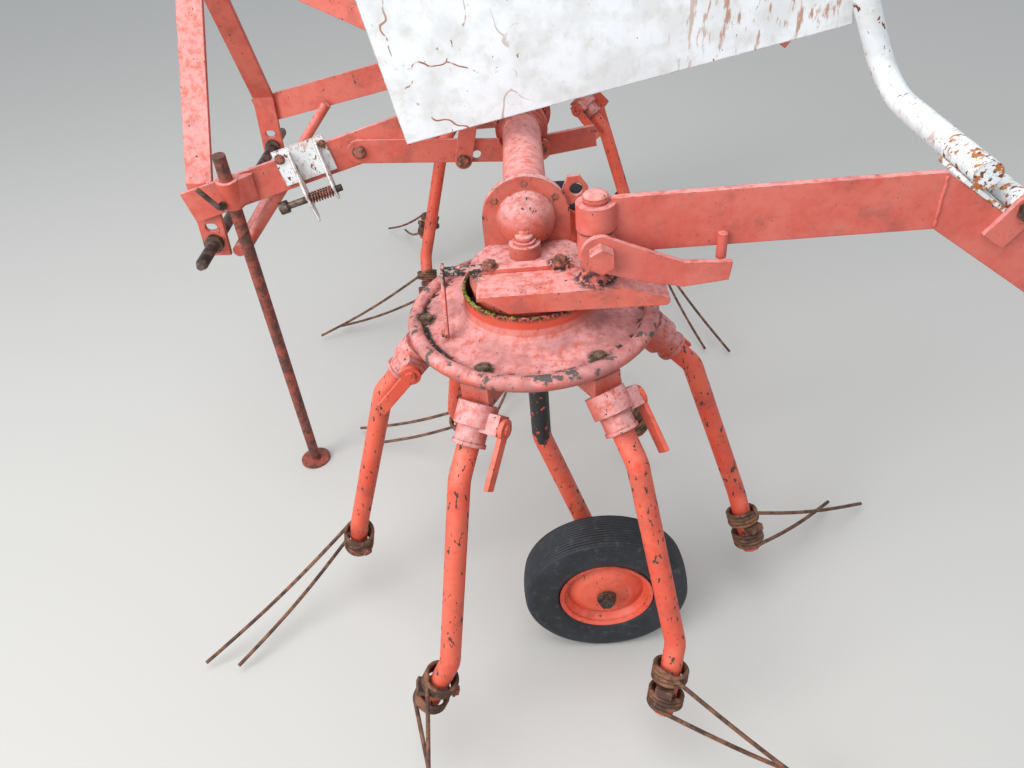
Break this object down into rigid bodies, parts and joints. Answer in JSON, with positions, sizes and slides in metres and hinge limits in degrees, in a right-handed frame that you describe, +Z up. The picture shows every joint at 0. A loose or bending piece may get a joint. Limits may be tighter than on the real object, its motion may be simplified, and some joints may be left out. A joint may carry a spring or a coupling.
{
  "type": "rotary hay tedder",
  "caption": "Mounted hay tedder with spinning tine rotors, a drive tube and headstock, swath boards folded up on swinging arms, small wheels and a parking stand.",
  "frame": {"origin": "middle of the machine's outline, on the ground", "axes": "+X forward to the tractor, +Y to the machine's left, +Z up"},
  "size_m": [1.8399, 3.2114, 1.6112],
  "materials": {
    "red_paint": "weathered orange-red enamel",
    "white_paint": "white paint with rusty edges",
    "worn_paint": "red paint worn to brown",
    "bare_steel": "dull bare steel",
    "tine_steel": "spring steel with brown rust",
    "tyre_rubber": "dusty black rubber"
  },
  "bodies": {
    "frame": {"centre_gearbox": "red_paint", "cross_tubes": "red_paint", "frame_plates": "red_paint", "rotor_gearboxes": "red_paint", "mast_legs": "red_paint", "link_shaft": "bare_steel", "hitch_beams": "red_paint", "mast_braces": "red_paint", "link_bars": "red_paint", "pivot_bases": "red_paint", "pivot_posts": "red_paint", "side_bars": "red_paint", "wheel_legs": "red_paint", "stand_sleeve": "red_paint", "stand_lock": "bare_steel", "latch_bracket": "white_paint", "latch_pin": "bare_steel", "link_straps": "red_paint", "rear_stays": "red_paint", "hitch_stays": "red_paint"},
    "input": {"input_shaft": "bare_steel"},
    "stand": {"parking_stand": "worn_paint"},
    "rotor_left": {"rotor_disc_left": "red_paint", "arm_sockets_left": "red_paint", "arm_levers_left": "red_paint", "tine_arms_left": "red_paint", "tines_left": "tine_steel", "tine_clamps_left": "tine_steel"},
    "wheel_left": {"rim_left": "red_paint", "tyre_left": "tyre_rubber"},
    "gate_left": {"gate_arm_left": "red_paint", "fold_pin_left": "bare_steel", "latch_lever_left": "red_paint"},
    "board_left": {"board_frame_left": "white_paint", "swath_board_left": "white_paint"},
    "rotor_right": {"rotor_disc_right": "red_paint", "arm_sockets_right": "red_paint", "arm_levers_right": "red_paint", "tine_arms_right": "red_paint", "tines_right": "tine_steel", "tine_clamps_right": "tine_steel"},
    "wheel_right": {"rim_right": "red_paint", "tyre_right": "tyre_rubber"},
    "gate_right": {"gate_arm_right": "red_paint", "fold_pin_right": "bare_steel", "latch_lever_right": "red_paint"},
    "board_right": {"board_frame_right": "white_paint", "swath_board_right": "white_paint"}
  },
  "joints": [
    {"name": "rotor_left_spin", "type": "hinge", "parent": "frame", "child": "rotor_left", "pos_m": [0.05608, 0.75, 0.86], "axis": [0, 0, 1], "continuous": true},
    {"name": "rotor_right_spin", "type": "hinge", "parent": "frame", "child": "rotor_right", "pos_m": [0.05608, -0.75, 0.86], "axis": [0, 0, 1], "continuous": true},
    {"name": "input_spin", "type": "hinge", "parent": "frame", "child": "input", "pos_m": [0.25608, 0, 1.013], "axis": [1, 0, 0], "continuous": true},
    {"name": "wheel_left_spin", "type": "hinge", "parent": "frame", "child": "wheel_left", "pos_m": [-0.06592, 0.893, 0.1875], "axis": [0, 1, 0], "continuous": true},
    {"name": "wheel_right_spin", "type": "hinge", "parent": "frame", "child": "wheel_right", "pos_m": [-0.06592, -0.893, 0.1875], "axis": [0, 1, 0], "continuous": true},
    {"name": "stand_slide", "type": "slide", "parent": "frame", "child": "stand", "axis": [-0.056, 0.1374, 0.9889], "range_m": [0, 0.3]},
    {"name": "gate_left_swing", "type": "hinge", "parent": "frame", "child": "gate_left", "pos_m": [-0.06192, 0.83, 1.04], "axis": [0, 0, -1], "range_deg": [0, 90]},
    {"name": "board_left_fold", "type": "hinge", "parent": "gate_left", "child": "board_left", "pos_m": [-0.77416, 0.83, 1.04735], "axis": [0, -1, 0], "range_deg": [0, 165]},
    {"name": "gate_right_swing", "type": "hinge", "parent": "frame", "child": "gate_right", "pos_m": [-0.06192, -0.83, 1.04], "axis": [0, 0, 1], "range_deg": [0, 90]},
    {"name": "board_right_fold", "type": "hinge", "parent": "gate_right", "child": "board_right", "pos_m": [-0.77416, -0.83, 1.04735], "axis": [0, -1, 0], "range_deg": [0, 165]}
  ],
  "couplings": [
    {"joint": "rotor_right_spin", "follows": "rotor_left_spin", "ratio": -1},
    {"joint": "input_spin", "follows": "rotor_left_spin", "ratio": 3}
  ]
}
